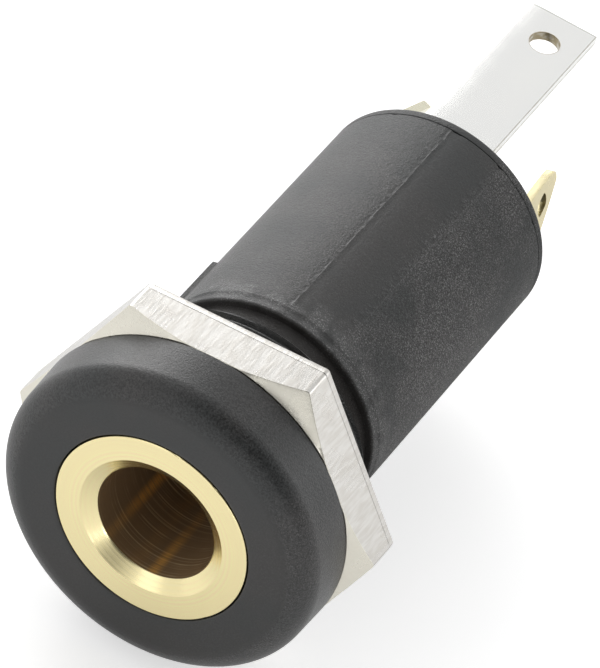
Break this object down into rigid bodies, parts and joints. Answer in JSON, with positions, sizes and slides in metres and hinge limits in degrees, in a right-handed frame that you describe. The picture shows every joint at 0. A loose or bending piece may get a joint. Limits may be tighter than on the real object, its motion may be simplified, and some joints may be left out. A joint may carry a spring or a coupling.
{
  "type": "panel mount jack socket",
  "caption": "Round panel mount jack socket with a black bezel, gold plated bush, hexagon nut on a threaded neck, barrel body and solder tags at the rear.",
  "frame": {"origin": "on the jack's axis, in the plane of the bezel's back face, which seats on the panel", "axes": "+Y along the jack's axis from the plug's mouth to the solder tags, +Z towards the flat earth tag, +X to the right seen from the front"},
  "size_m": [0.0112, 0.0227, 0.0102],
  "materials": {
    "black_plastic": "fine spark-eroded texture",
    "gold_plate": "turned and gold plated",
    "gold_spring": "stamped and gold plated",
    "silver_plate": "smooth silver plate",
    "nickel_plate": "sheared flats, nickel plated"
  },
  "bodies": {
    "socket": {"housing": "black_plastic", "contact_bush": "gold_plate", "sleeve_lug": "silver_plate", "tip_spring": "gold_spring", "ring_spring": "gold_spring", "rear_cap": "black_plastic"},
    "nut": {"hex_nut": "nickel_plate"}
  },
  "joints": [
    {"name": "nut_travel", "type": "slide", "parent": "socket", "child": "nut", "axis": [0, 1, 0], "range_m": [0, 0.0208]}
  ]
}
